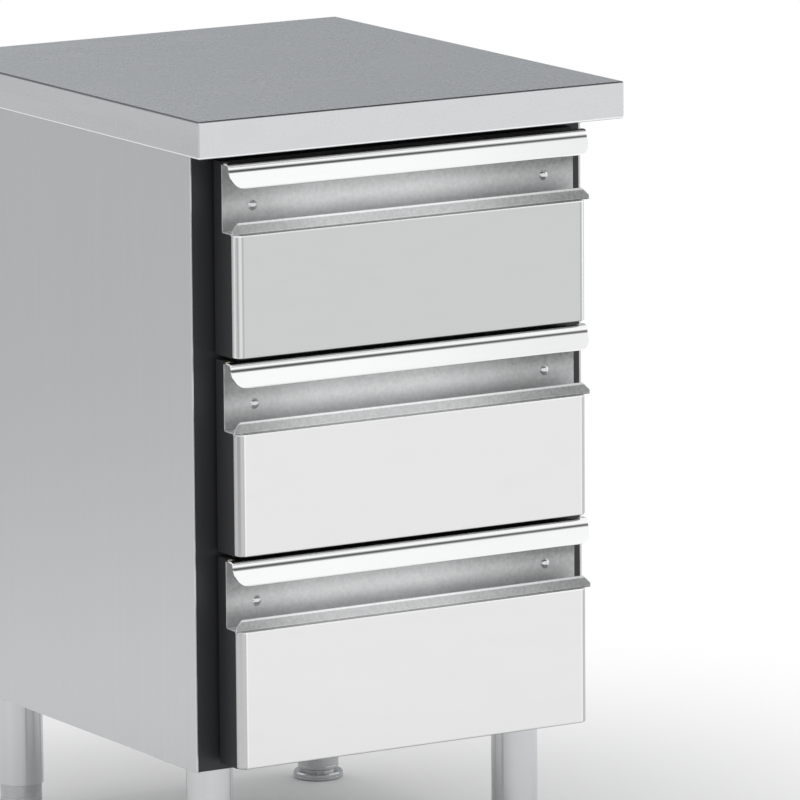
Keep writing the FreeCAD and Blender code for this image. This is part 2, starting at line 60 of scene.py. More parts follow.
UP: Triple = (0.0, 0.0, 1.0)
DOWN: Triple = (0.0, 0.0, -1.0)
FORWARD: Triple = (0.0, -1.0, 0.0)
BACKWARD: Triple = (0.0, 1.0, 0.0)
SIDEWAYS: Triple = (1.0, 0.0, 0.0)
STEEL_DUST = (0.42, 0.40, 0.37, 1.0)
PLASTIC_DUST = (0.30, 0.29, 0.27, 1.0)


class Drawer(Enum):
    """The three drawers, from the floor up."""

    BOTTOM = "bottom"
    MIDDLE = "middle"
    TOP = "top"

    @property
    def body(self) -> str:
        """Name of the body that slides."""
        return f"{self.value}_drawer"

    def node(self, piece: str) -> str:
        """Name of one CAD node of this drawer."""
        return f"{self.value}_drawer_{piece}"


class Foot(Enum):
    """The four levelling feet."""

    FRONT_LEFT = "foot_front_left"
    FRONT_RIGHT = "foot_front_right"
    REAR_LEFT = "foot_rear_left"
    REAR_RIGHT = "foot_rear_right"

    def centre(self) -> Vector:
        """Point on the floor under the middle of this foot."""
        low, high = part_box(self.value)
        return Vector(((low.x + high.x) / 2, (low.y + high.y) / 2, low.z))


class Graph:
    """One node tree, wired with short calls."""

    def __init__(self, tree: Tree) -> None:
        """Start from an empty tree."""
        self.tree = tree
        tree.nodes.clear()

    @property
    def place(self) -> Socket:
        """Object coordinates."""
        return self.add("TexCoord").outputs["Object"]

    @property
    def facing(self) -> Socket:
        """Way that the skin looks, in object coordinates."""
        return self.add("TexCoord").outputs["Normal"]

    def feed(self, socket: Socket, value: Wire) -> None:
        """Wire a socket to another, or set its value.

        Args:
            socket: Input of a node.
            value: Wire or plain value for it.
        """
        if isinstance(value, Socket):
            self.tree.links.new(value, socket)
        else:
            socket.default_value = value

    def add(self, kind: str, feeds: dict[Union[str, int], Wire] | None = None, **settings: object) -> Node:
        """Place a shader node.

        Args:
            kind: Blender's name for the node, less the word that all shader nodes start with.
            feeds: Value or wire for each input, by name or number.
            settings: Properties of the node.

        Returns:
            The new node.
        """
        node = self.tree.nodes.new(f"ShaderNode{kind}")
        for name, value in settings.items():
            setattr(node, name, value)
        for name, value in (feeds or {}).items():
            self.feed(node.inputs[name], value)
        return node

    def calc(self, operation: str, *values: Wire, clamp: bool = False) -> Socket:
        """Result of a sum on one to three numbers, kept from 0 to 1 if clamp is set."""
        return self.add("Math", dict(enumerate(values)), operation=operation, use_clamp=clamp).outputs[0]

    def vector(self, operation: str, *values: Wire) -> Socket:
        """Result of a sum on vectors."""
        made = "Value" if operation in ("DOT_PRODUCT", "LENGTH") else "Vector"
        return self.add("VectorMath", dict(enumerate(values)), operation=operation).outputs[made]

    def part(self, vector: Wire, axis: str) -> Socket:
        """One coordinate of a vector."""
        return self.add("SeparateXYZ", {"Vector": vector}).outputs[axis]

    def even(self, value: Wire) -> Socket:
        """Vector or grey with three equal parts."""
        return self.add("CombineXYZ", {"X": value, "Y": value, "Z": value}).outputs[0]

    def noise(self, place: Wire, scale: Wire, detail: float = 2.0, rough: float = 0.5) -> Socket:
        """Soft noise from about 0.2 to 0.8. Detail is the number of its finer layers, and rough their strength."""
        feeds = {"Vector": place, "Scale": scale, "Detail": detail, "Roughness": rough}
        return self.add("TexNoise", feeds, normalize=True).outputs[0]

    def ramp(self, value: Wire, low: Wire, high: Wire, start: Wire = 0.0, end: Wire = 1.0) -> Socket:
        """Smooth step from start to end while value goes from low to high."""
        feeds = {"Value": value, "From Min": low, "From Max": high, "To Min": start, "To Max": end}
        return self.add("MapRange", feeds, interpolation_type="SMOOTHSTEP").outputs[0]

    def band(self, value: Wire, low: Wire, high: Wire, soft: Wire) -> Socket:
        """Mask that is 1 between two levels.

        Args:
            value: What is compared with the levels.
            low: Lower level.
            high: Upper level.
            soft: Half the width of the smooth step at each level.

        Returns:
            The wire that carries the mask.
        """
        rise = self.ramp(value, self.calc("SUBTRACT", low, soft), self.calc("ADD", low, soft))
        fall = self.ramp(value, self.calc("SUBTRACT", high, soft), self.calc("ADD", high, soft), 1.0, 0.0)
        return self.calc("MULTIPLY", rise, fall)

    def mix(self, share: Wire, first: Wire, second: Wire) -> Socket:
        """Mixture of two numbers."""
        return self.add("Mix", {0: share, 2: first, 3: second}, data_type="FLOAT").outputs[0]

    def tint(self, share: Wire, first: Wire, second: Wire) -> Socket:
        """Mixture of two colours."""
        return self.add("Mix", {0: share, 6: first, 7: second}, data_type="RGBA").outputs[2]

    def shade(self, tone: Triple, amount: Wire) -> Socket:
        """Colour that gets lighter or darker by a share."""
        return self.vector("MULTIPLY", tone, self.even(self.calc("ADD", amount, 1.0)))

    def either(self, share: Wire, first: Node, second: Node) -> Node:
        """Mixture of two shaders."""
        return self.add("MixShader", {0: share, 1: first.outputs[0], 2: second.outputs[0]})

    def end(self, shader: Node, kind: str = "OutputMaterial") -> None:
        """Let the tree put out a shader."""
        self.add(kind, {"Surface": shader.outputs[0]})


def spaced(values: dict[str, Wire]) -> dict[str, Wire]:
    """The same values, with blanks for the _ in their names."""
    return {name.replace("_", " "): value for name, value in values.items()}


def new_material(name: str) -> tuple[bpy.types.Material, Graph]:
    """Start a material.

    Args:
        name: Its name.

    Returns:
        The material and its empty graph.
    """
    material = bpy.data.materials.new(name)
    material.use_nodes = True
    return material, Graph(material.node_tree)


class Effects:
    """Surface effects that several finishes use, each built once as a node group."""

    def _open(self, name: str, **inputs: Wire) -> tuple[Graph, bpy.types.NodeOutputs]:
        """Start a node group.

        Args:
            name: Name of the effect.
            inputs: Default of each input, with _ for a blank. Three numbers make a vector.

        Returns:
            Its graph and the wires of its inputs.
        """
        graph = Graph(bpy.data.node_groups.new(name, "ShaderNodeTree"))
        for label, default in spaced(inputs).items():
            kind = "NodeSocketFloat" if isinstance(default, float) else "NodeSocketVector"
            graph.tree.interface.new_socket(label, in_out="INPUT", socket_type=kind).default_value = default
        return graph, graph.tree.nodes.new("NodeGroupInput").outputs

    def _close(self, graph: Graph, **results: Socket) -> Tree:
        """Give a node group its outputs.

        Args:
            graph: Its graph.
            results: Wire for each output.

        Returns:
            The node group.
        """
        for label, wire in results.items():
            kind = "NodeSocketVector" if wire.type == "VECTOR" else "NodeSocketFloat"
            graph.tree.interface.new_socket(label, in_out="OUTPUT", socket_type=kind)
        made = graph.tree.nodes.new("NodeGroupOutput")
        for label, wire in results.items():
            graph.feed(made.inputs[label], wire)
        return graph.tree

    @cached_property
    def grain(self) -> Tree:
        """Fine lines that a belt leaves in sheet steel, turned with the face they are on."""
        graph, given = self._open("sheet_grain", Front_Stretch=(3.0, 170.0, 170.0), Side_Stretch=(170.0, 3.0, 170.0),
                                  Speck=260.0, Upright_Speck=1.0, Seed=0.0)
        place = graph.vector("ADD", graph.place, given["Seed"])
        front, side = (graph.vector("MULTIPLY", place, given[f"{face} Stretch"]) for face in ("Front", "Side"))
        on_side = graph.ramp(graph.calc("ABSOLUTE", graph.part(graph.facing, "X")), 0.6, 0.8)
        line = graph.mix(on_side, graph.noise(front, 1.0, 5.0, 0.72), graph.noise(side, 1.0, 5.0, 0.72))
        band = graph.mix(on_side, graph.noise(front, 0.12, 2.0), graph.noise(side, 0.12, 2.0))
        share = graph.ramp(graph.part(graph.facing, "Z"), 0.9, 0.99, given["Upright Speck"], 1.0)
        speck = graph.calc("SUBTRACT", graph.noise(place, given["Speck"], 3.0, 0.7), 0.5)
        return self._close(graph, Line=line, Band=band, Speck=graph.calc("MULTIPLY_ADD", speck, share, 0.5))

    @cached_property
    def scratches(self) -> Tree:
        """Short straight hairs that wiping leaves, in two directions."""
        graph, given = self._open("wiping_hairs", Amount=0.5, Seed=0.0)
        spot = graph.vector("ADD", graph.place, given["Seed"])
        level = graph.calc("SUBTRACT", 0.84, graph.calc("MULTIPLY", given["Amount"], 0.12))
        total: Wire = 0.0
        for turn in ((0.0, 0.35, 0.22), (0.0, -0.5, -0.3)):
            turned = graph.add("VectorRotate", {"Vector": spot, "Rotation": turn}, rotation_type="EULER_XYZ")
            hairs = graph.noise(graph.vector("MULTIPLY", turned.outputs[0], (9.0, 620.0, 620.0)), 1.0, 1.0)
            total = graph.calc("MAXIMUM", total, graph.ramp(hairs, level, graph.calc("ADD", level, 0.06)))
        return self._close(graph, Mask=total)

    @cached_property
    def marks(self) -> Tree:
        """Wiped-over finger marks and dried cleaning film."""
        graph, given = self._open("wiped_marks", Spread=14.0, Cover=0.5)
        streaks = graph.noise(graph.vector("MULTIPLY", graph.place, (1.0, 1.0, 3.2)), given["Spread"], 5.0, 0.62)
        level = graph.calc("MULTIPLY", streaks, graph.calc("ADD", graph.noise(graph.place, 3.1, 2.0), 0.5))
        return self._close(graph, Mask=graph.ramp(level, graph.calc("SUBTRACT", 0.95, given["Cover"]), 0.75))

    @cached_property
    def painted_centre_light(self) -> Tree:
        """Painted highlight: mask that is 1 near the middle of a pull and falls to 0 at its ends, where the recess is
        painted duller.
        """
        graph, given = self._open("centre_light_paint", Middle=-0.035, Bright=0.05, Dull=0.24)
        along = graph.calc("ABSOLUTE", graph.calc("SUBTRACT", graph.part(graph.place, "X"), given["Middle"]))
        uneven = graph.calc("SUBTRACT", graph.noise(graph.place, 11.0, 2.0, 0.5), 0.5)
        along = graph.calc("MULTIPLY_ADD", uneven, 0.08, along)
        return self._close(graph, Mask=graph.ramp(along, given["Bright"], given["Dull"], 1.0, 0.0))

    @cached_property
    def edges(self) -> Tree:
        """Folded and cut edges: a softened normal, and a mask of the edges that finishes lighten as rubbed wear and, on
        steel, partly as a painted edge highlight.
        """
        graph, given = self._open("worn_and_highlit_edges", Radius=0.0005, Reach=0.0012)
        soft, wide = (graph.add("Bevel", {"Radius": given[size]}, samples=4).outputs[0] for size in ("Radius", "Reach"))
        flat = graph.add("NewGeometry").outputs["Normal"]
        bend = graph.calc("SUBTRACT", 1.0, graph.vector("DOT_PRODUCT", wide, flat))
        broken = graph.ramp(graph.noise(graph.place, 160.0, 3.0, 0.6), 0.25, 0.5)
        return self._close(graph, Mask=graph.calc("MULTIPLY", graph.ramp(bend, 0.012, 0.10), broken), Normal=soft)

    @cached_property
    def painted_fold_band(self) -> Tree:
        """Band that runs along a bend, between two tilts of its skin, for painted highlight, reflection and shade along
        the bend. Mirror -1 takes the opposite bend too.
        """
        graph, given = self._open("painted_fold_band", Axis=SIDEWAYS, From=0.1, To=0.3, Mirror=0.0)
        lean = graph.vector("DOT_PRODUCT", graph.facing, given["Axis"])
        lean = graph.calc("MAXIMUM", lean, graph.calc("MULTIPLY", lean, given["Mirror"]))
        return self._close(graph, Mask=graph.band(lean, given["From"], given["To"], 0.03))

    @cached_property
    def painted_level_band(self) -> Tree:
        """Level stripe on each drawer, at heights above its face, where the skin leans back at least so much, for
        painted shade, highlight and reflection lines.
        """
        graph, given = self._open("painted_level_band", Low=0.0, High=0.01, Soft=0.002, Lean=-2.0)
        first, second = (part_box(drawer.node("face"))[1].z for drawer in (Drawer.BOTTOM, Drawer.MIDDLE))
        rise = graph.calc("SUBTRACT", graph.calc("WRAP", graph.part(graph.place, "Z"), second, first), first)
        leaning = graph.calc("GREATER_THAN", graph.part(graph.facing, "Z"), given["Lean"])
        stripe = graph.band(rise, given["Low"], given["High"], given["Soft"])
        return self._close(graph, Mask=graph.calc("MULTIPLY", stripe, leaning))

    @cached_property
    def dust(self) -> Tree:
        """Dust that lies on faces that look up."""
        graph, given = self._open("settled_dust", Cover=0.4)
        drifts = graph.calc("ADD", graph.noise(graph.place, 11.0, 3.0), 0.4)
        level = graph.calc("MULTIPLY", graph.noise(graph.place, 420.0, 3.0, 0.7), drifts)
        upward = graph.ramp(graph.part(graph.facing, "Z"), 0.5, 0.95)
        lying = graph.calc("MULTIPLY", graph.ramp(level, 0.35, 0.65), upward)
        return self._close(graph, Mask=graph.calc("MULTIPLY", lying, given["Cover"]))

    @cached_property
    def moulding(self) -> Tree:
        """Fine pebbled skin of moulded plastic or rubber, with flow marks."""
        graph, given = self._open("moulded_skin", Pebbles=1400.0, Flow=9.0)
        pebbles = graph.add("TexVoronoi", {"Vector": graph.place, "Scale": given["Pebbles"]})
        fine = graph.calc("MULTIPLY", graph.noise(graph.place, 3000.0, 2.0), 0.5)
        flow = graph.noise(graph.vector("MULTIPLY", graph.place, (1.0, 1.0, 0.25)), given["Flow"], 3.0)
        return self._close(graph, Height=graph.calc("ADD", pebbles.outputs["Distance"], fine), Flow=flow)

    @cached_property
    def cells(self) -> Tree:
        """Cut cells of rigid foam, or the chips of pressed board."""
        graph, given = self._open("cells", Fineness=700.0, Stretch=(1.0, 1.0, 1.0))
        place = graph.vector("MULTIPLY", graph.place, given["Stretch"])
        cell = graph.add("TexVoronoi", {"Vector": place, "Scale": given["Fineness"]})
        broad = graph.noise(place, graph.calc("MULTIPLY", given["Fineness"], 0.05), 3.0)
        tone = graph.calc("ADD", graph.part(cell.outputs["Color"], "X"), broad)
        return self._close(graph, Height=cell.outputs["Distance"], Tone=tone)


class Grain(Enum):
    """Which way a finish is brushed.

    Each value holds the stretch on faces seen from front or top, the stretch on faces seen from the side,
    and the axis that the brushed lines lie along or run round.
    """

    ACROSS = ((3.0, 170.0, 170.0), (170.0, 3.0, 170.0), "X")
    SHORT = ((95.0, 210.0, 210.0), (210.0, 95.0, 210.0), "X")
    UPRIGHT = ((170.0, 170.0, 3.0), (170.0, 170.0, 3.0), "Z")
    DEEP = ((170.0, 3.0, 170.0), (170.0, 3.0, 170.0), "Y")
    TURNED = ((14.0, 14.0, 900.0), (14.0, 14.0, 900.0), "Z")

    def __init__(self, front: Triple, side: Triple, axis: str) -> None:
        """Name the parts of the value."""
        self.front, self.side, self.axis = front, side, axis

    @property
    def quarter_turn(self) -> float:
        """Turn of the sheen, which spreads across lines that run round their axis."""
        return 0.25 if self is Grain.TURNED else 0.0


class Surface:
    """Graph of one material that ends in a single glossy or matt shader."""

    def __init__(self, name: str, effects: Effects, **constants: Wire) -> None:
        """Open the material.

        Args:
            name: Name of the finish.
            effects: Groups that its graph may use.
            constants: Values set straight on the shader, with _ for a blank.
        """
        self.material, self.graph = new_material(name)
        self.effects = effects
        self.shader = self.graph.add("BsdfPrincipled", spaced(constants))
        self.graph.end(self.shader)

    def effect(self, tree: Tree, **feeds: Wire) -> bpy.types.NodeOutputs:
        """Place one of the shared effects with its own values, and give its outputs."""
        return self.graph.add("Group", spaced(feeds), node_tree=tree).outputs

    def set(self, label: str, value: Wire) -> None:
        """Feed one input of the shader."""
        self.graph.feed(self.shader.inputs[label], value)

    def bump(self, height: Wire, depth: float, **under: Wire) -> None:
        """Raise the surface by a height map, over the Normal if one is given."""
        feeds = {"Height": height, "Distance": depth, "Strength": 1.0, **under}
        self.set("Normal", self.graph.add("Bump", feeds).outputs[0])


@dataclass(frozen=True)
class Fold:
    """Band along a bend whose tone is shifted to paint the highlights, reflections and shade that bends show."""

    axis: Triple
    low: float
    high: float
    shift: float
    mirrored: bool = False


@dataclass(frozen=True)
class Stripe:
    """Level stripe on each drawer whose tone is shifted to paint shade, highlight and reflection lines, heights in
    metres.
    """

    low: float
    high: float
    soft: float
    shift: float
    lean: float = -2.0


@dataclass(frozen=True)
class Layer:
    """Mask, with what it adds to the tone and the roughness of a steel."""

    mask: Socket
    tone: float
    roughness: float = 0.0


@dataclass(frozen=True)
class Steel:
    """Stainless sheet or bar."""

    name: str
    tone: Triple
    roughness: float
    grain: Grain = Grain.ACROSS
    contrast: float = 0.08
    specks: float = 0.0
    depth: float = 0.02 * MM
    sheen: float = 0.5
    hairs: float = 0.2
    marks: float = 0.05
    edge_wear_and_highlight: float = 0.25
    edge_reach: float = 1.2 * MM
    dust: float = 0.0
    centre_highlight: float = 0.0
    upright_specks: float = 1.0
    folds: tuple[Fold, ...] = ()
    stripes: tuple[Stripe, ...] = ()
    seed: float = 0.0

    def layers(self, surface: Surface) -> list[Layer]:
        """Marks of making and use that this steel has, with its painted highlight, reflection and shade bands.

        Args:
            surface: Material in the making.

        Returns:
            Its layers of marks and painted light.
        """
        effects, found = surface.effects, []
        if self.marks:
            found.append(Layer(surface.effect(effects.marks)["Mask"], -self.marks, 1.5 * self.marks))
        # The middle of a pull is painted lighter than its ends: painted highlight.
        if self.centre_highlight:
            found.append(Layer(surface.effect(effects.painted_centre_light)["Mask"], self.centre_highlight, -0.15 * self.centre_highlight))
        # Folds and stripes paint highlight, reflection and shade bands.
        for fold in self.folds:
            feeds = {"Axis": fold.axis, "From": fold.low, "To": fold.high, "Mirror": -float(fold.mirrored)}
            found.append(Layer(surface.effect(effects.painted_fold_band, **feeds)["Mask"], fold.shift))
        for stripe in self.stripes:
            feeds = {"Low": stripe.low, "High": stripe.high, "Soft": stripe.soft, "Lean": stripe.lean}
            found.append(Layer(surface.effect(effects.painted_level_band, **feeds)["Mask"], stripe.shift))
        return found

    def make(self, effects: Effects) -> bpy.types.Material:
        """Build the material.

        Args:
            effects: Groups that its graph may use.

        Returns:
            The material.
        """
        surface = Surface(self.name, effects, Metallic=1.0, Anisotropic=self.sheen,
                          Anisotropic_Rotation=self.grain.quarter_turn)
        graph = surface.graph
        grain = surface.effect(effects.grain, Front_Stretch=self.grain.front, Side_Stretch=self.grain.side,
                               Upright_Speck=self.upright_specks, Seed=self.seed)
        edges = surface.effect(effects.edges, Reach=self.edge_reach)
        hair = surface.effect(effects.scratches, Amount=self.hairs, Seed=self.seed)["Mask"]
        line, band, speck = (graph.calc("SUBTRACT", grain[label], 0.5) for label in ("Line", "Band", "Speck"))
        amount = graph.calc("MULTIPLY_ADD", line, self.contrast, graph.calc("MULTIPLY", band, self.contrast * 0.3))
        rough = graph.calc("MULTIPLY_ADD", line, self.contrast, self.roughness)
        # The edge mask lightens edges: partly rubbed wear, partly a painted edge highlight.
        found = [Layer(edges["Mask"], 0.3 * self.edge_wear_and_highlight), Layer(hair, -0.3 * self.hairs, 0.3 * self.hairs)]
        if self.specks:
            found.append(Layer(speck, self.specks))
        for layer in found + self.layers(surface):
            amount = graph.calc("MULTIPLY_ADD", layer.mask, layer.tone, amount)
            if layer.roughness:
                rough = graph.calc("MULTIPLY_ADD", layer.mask, layer.roughness, rough)
        colour = graph.shade(self.tone, amount)
        if self.dust:
            dust = surface.effect(effects.dust, Cover=self.dust)["Mask"]
            colour = graph.tint(dust, colour, STEEL_DUST)
            rough = graph.calc("MULTIPLY_ADD", dust, 0.4, rough)
            surface.set("Metallic", graph.calc("MULTIPLY_ADD", dust, -0.6, 1.0))
        surface.set("Base Color", colour)
        surface.set("Roughness", rough)
        surface.set("Tangent", graph.add("Tangent", direction_type="RADIAL", axis=self.grain.axis).outputs[0])
        height = graph.calc("MULTIPLY_ADD", hair, -self.hairs, grain["Line"])
        surface.bump(height, self.depth, Normal=edges["Normal"])
        return surface.material


@dataclass(frozen=True)
class Moulded:
    """Plastic or rubber with a pebbled skin."""

    name: str
    tone: Triple
    roughness: float
    pebbles: float = 1400.0
    depth: float = 0.06 * MM
    dust: float = 0.15
    gloss: float = 0.4

    def make(self, effects: Effects) -> bpy.types.Material:
        """Build the material.

        Args:
            effects: Groups that its graph may use.

        Returns:
            The material.
        """
        surface = Surface(self.name, effects, Specular_IOR_Level=self.gloss)
        graph = surface.graph
        skin = surface.effect(effects.moulding, Pebbles=self.pebbles)
        dust = surface.effect(effects.dust, Cover=self.dust)["Mask"]
        edges = surface.effect(effects.edges)
        flow = graph.calc("SUBTRACT", skin["Flow"], 0.5)
        amount = graph.calc("MULTIPLY_ADD", edges["Mask"], 0.6, graph.calc("MULTIPLY", flow, 0.5))
        surface.set("Base Color", graph.tint(dust, graph.shade(self.tone, amount), PLASTIC_DUST))
        surface.set("Roughness", graph.calc("MULTIPLY_ADD", flow, 0.25, self.roughness, clamp=True))
        surface.bump(skin["Height"], self.depth, Normal=edges["Normal"])
        return surface.material


@dataclass(frozen=True)
class Cellular:
    """Rigid foam or pressed board."""

    name: str
    tone: Triple
    shadow: Triple
    fineness: float
    stretch: Triple = (1.0, 1.0, 1.0)
    depth: float = 0.25 * MM

    def make(self, effects: Effects) -> bpy.types.Material:
        """Build the material.

        Args:
            effects: Groups that its graph may use.

        Returns:
            The material.
        """
        surface = Surface(self.name, effects, Roughness=0.85, Specular_IOR_Level=0.2)
        graph = surface.graph
        cells = surface.effect(effects.cells, Fineness=self.fineness, Stretch=self.stretch)
        share = graph.calc("MULTIPLY", cells["Tone"], 0.5)
        surface.set("Base Color", graph.tint(share, (*self.shadow, 1.0), (*self.tone, 1.0)))
        surface.set("Roughness", graph.calc("MULTIPLY_ADD", cells["Tone"], 0.1, 0.75))
        surface.bump(cells["Height"], self.depth)
        return surface.material


Finish = Union[Steel, Moulded, Cellular]


class Palette:
    """Finishes of the unit, each made into a material when it is first used."""

    # Folds paint a dark reflection line on the top front bend, a highlight under it, a highlight on the bottom bend and
    # shade on the underside; the raised edge value partly paints edge highlights.
    WORKTOP = Steel(
        "worktop_satin_steel", (0.660, 0.672, 0.684), 0.27, Grain.SHORT, contrast=0.03, specks=0.75, edge_wear_and_highlight=0.5,
        upright_specks=0.0, marks=0.02, depth=0.010 * MM,
        folds=(Fold(UP, 0.40, 0.965, -0.80), Fold(UP, 0.10, 0.34, 0.10), Fold(DOWN, 0.12, 0.62, 0.40),
               Fold(DOWN, 0.8, 2.0, -0.55)))
    # Folds paint dark reflection bands and a light line on the side bends, a highlight on the top bend and shade on the
    # underside.
    FACE = Steel(
        "front_smooth_steel", (0.80, 0.805, 0.80), 0.20, contrast=0.02, depth=0.003 * MM, sheen=0.2, hairs=0.05,
        marks=0.01, seed=0.31,
        folds=(Fold(SIDEWAYS, 0.20, 2.0, -0.34, True), Fold(SIDEWAYS, 0.06, 0.18, 0.08, True),
               Fold(UP, 0.15, 0.85, 0.22), Fold(DOWN, 0.6, 2.0, -0.6)))
    # Painted shade: the top drawer's face is a darker copy of the front steel; its folds paint reflection bands on the
    # side bends, a highlight on the top bend and shade on the underside.
    SHADED_TOP_FACE = replace(
        FACE, name="top_front_painted_shade_steel", tone=(0.606, 0.618, 0.613), seed=0.44,
        folds=(Fold(SIDEWAYS, 0.06, 0.24, -0.20, True), Fold(SIDEWAYS, 0.26, 0.54, 0.16, True),
               Fold(SIDEWAYS, 0.76, 0.96, 0.30, True), Fold(UP, 0.15, 0.85, 0.5), Fold(DOWN, 0.6, 2.0, -0.5)))
    # Painted light: the tone is high so that the hidden faces throw light into the recess, and the forward fold darkens
    # the front-facing skin back down. The upward fold paints shade on the lip, the middle of the recess is painted
    # lighter than its ends, the stripes paint shade under the grip, a highlight on the lip's top edge and a dark line
    # at its foot, and the raised edge value partly paints edge highlights.
    CHANNEL = Steel(
        "recess_steel", (0.92, 0.93, 0.935), 0.50, contrast=0.05, specks=0.30, depth=0.002 * MM, sheen=0.2,
        marks=0.02, edge_wear_and_highlight=0.6, edge_reach=1.5 * MM, centre_highlight=0.31, seed=0.57,
        folds=(Fold(FORWARD, 0.8, 2.0, -0.475), Fold(UP, 0.09, 0.3, -0.20)),
        stripes=(Stripe(34.0 * MM, 62.0 * MM, 9.0 * MM, -0.24), Stripe(11.0 * MM, 14.0 * MM, 0.4 * MM, 0.36, 0.07),
                 Stripe(0.3 * MM, 1.8 * MM, 0.4 * MM, -0.35)))
    # The stripe paints a dark reflection line along the crease, and the raised edge value partly paints edge
    # highlights.
    GRIP = Steel(
        "grip_polished_steel", (0.955, 0.96, 0.96), 0.10, contrast=0.02, depth=0.002 * MM, sheen=0.2, hairs=0.1,
        marks=0.01, edge_wear_and_highlight=0.4, edge_reach=2.0 * MM, seed=0.83, stripes=(Stripe(66.1 * MM, 68.8 * MM, 1.2 * MM, -0.88),))
    FASTENER = Steel(
        "fastener_steel", (0.70, 0.71, 0.72), 0.18, Grain.TURNED, contrast=0.05, depth=0.003 * MM, sheen=0.0, dust=0.05)
    BOX = Steel(
        "box_sheet_steel", (0.60, 0.61, 0.62), 0.32, Grain.DEEP, contrast=0.09, depth=0.012 * MM, dust=0.12)
    RAIL = Steel(
        "rail_zinc_steel", (0.50, 0.515, 0.53), 0.36, Grain.DEEP, contrast=0.12, specks=0.2, marks=0.1, dust=0.2)
    BEARING = Steel("bearing_steel", (0.62, 0.63, 0.64), 0.16, Grain.DEEP, contrast=0.05, dust=0.05)
    CABINET = Steel(
        "cabinet_satin_steel", (0.60, 0.61, 0.62), 0.30, Grain.UPRIGHT, contrast=0.07, depth=0.008 * MM, marks=0.0,
        hairs=0.1, seed=1.3)
    LINER = Steel("liner_steel", (0.58, 0.59, 0.60), 0.34, Grain.DEEP, depth=0.012 * MM, dust=0.1)
    LEG = Steel(
        "leg_tube_steel", (0.62, 0.63, 0.64), 0.24, Grain.TURNED, contrast=0.04, depth=0.003 * MM, marks=0.0,
        hairs=0.05)
    FOOT = Steel(
        "foot_turned_steel", (0.52, 0.53, 0.54), 0.26, Grain.TURNED, contrast=0.09, depth=0.008 * MM, dust=0.15)
    WELD = Steel("weld_bead_steel", (0.50, 0.49, 0.47), 0.30, Grain.TURNED, contrast=0.12, marks=0.15)
    PLASTIC = Moulded("cover_black_plastic", (0.020, 0.021, 0.023), 0.50)
    # Painted shade: black plastic, kept this dark to stand in for the deep shade of the gaps beside the fronts.
    FRAME_GAP_SHADE = Moulded("frame_gap_shade_plastic", (0.026, 0.027, 0.030), 0.42, pebbles=1100.0)
    TRANSOM = Moulded("transom_grey_plastic", (0.16, 0.163, 0.168), 0.38, pebbles=1100.0)
    SEAL = Moulded("seal_rubber", (0.016, 0.016, 0.017), 0.62, pebbles=2200.0, gloss=0.3)
    FOAM = Cellular("wall_foam", (0.86, 0.80, 0.56), (0.70, 0.62, 0.38), 900.0)
    BOARD = Cellular("core_board_film", (0.060, 0.058, 0.056), (0.030, 0.029, 0.028), 380.0, (1.0, 1.0, 3.0))

    def __init__(self) -> None:
        """Start with no material made."""
        self.effects = Effects()
        self.made: dict[str, bpy.types.Material] = {}

    def material(self, finish: Finish) -> bpy.types.Material:
        """Material of a finish, built once.

        Args:
            finish: The finish.

        Returns:
            Its material.
        """
        if finish.name not in self.made:
            self.made[finish.name] = finish.make(self.effects)
        return self.made[finish.name]

    def dress(self, finish: Finish, *names: str) -> None:
        """Give CAD nodes a finish.

        Args:
            finish: The finish.
            names: Names of the nodes.
        """
        for name in names:
            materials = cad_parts[name].data.materials
            materials.clear()
            materials.append(self.material(finish))
            LOG.info("dressed %s as %s", name, finish.name)

    def place(self, piece: Item, finish: Finish, slot: str, body: str, *stands_for: str) -> None:
        """Finish a new piece and let it ride.

        Args:
            piece: The new piece.
            finish: Its finish.
            slot: The record's slot that the finish answers to. It is not used.
            body: The body that it moves with.
            stands_for: CAD nodes that it replaces.
        """
        piece.data.materials.append(self.material(finish))
        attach(piece, body)
        if stands_for:
            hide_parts(*stands_for)
        LOG.info("made %s: %d faces, rides on %s", piece.name, len(piece.data.polygons), body)


class Outline(Enum):
    """Cross-section of a turned or milled piece."""

    ROUND = "round"
    HEX = "hex"
    CROSS = "cross"
    KNURL = "knurl"
    THREAD = "thread"

    def reach(self, radius: float, angle: float, height: float) -> float:
        """Distance of the outline from the axis.

        Args:
            radius: Size of the outline.
            angle: Direction from the axis.
            height: Place along the axis.

        Returns:
            The distance in that direction.
        """
        if self is Outline.HEX:
            side = math.pi / 3
            return radius / math.cos((angle % side) - side / 2)
        if self is Outline.CROSS:
            turn = angle % QUARTER
            turn = min(turn, QUARTER - turn)
            arm = 0.28 * radius
            return min(radius / math.cos(turn), arm / max(math.sin(turn), 1e-6))
        if self is Outline.KNURL:
            ridges, depth = 36, 0.2 * MM
            return radius + depth * math.cos(ridges * angle)
        if self is Outline.THREAD:
            pitch, depth = 2.0 * MM, 0.8 * MM
            phase = (height / pitch - angle / math.tau) % 1.0
            return radius - depth * (1 - abs(2 * phase - 1))
        return radius


@dataclass(frozen=True)
class Ring:
    """One ring of a turned piece."""

    radius: float
    height: float
    outline: Outline = Outline.ROUND


def dome(inner: float, outer: float, rim: float, top: float, steps: int) -> list[Ring]:
    """Rings between the ends of a quarter bow, from the inner radius at the top to the outer one at the rim."""
    leans = [step / steps * QUARTER for step in range(1, steps)]
    return [Ring(inner + (outer - inner) * math.sin(lean), rim + (top - rim) * math.cos(lean)) for lean in leans]


def shank(radius: float, length: float) -> list[Ring]:
    """Rings of a screw's shank below its head."""
    return [Ring(radius, 0.0), Ring(radius, -length), Ring(radius / 2, -length)]


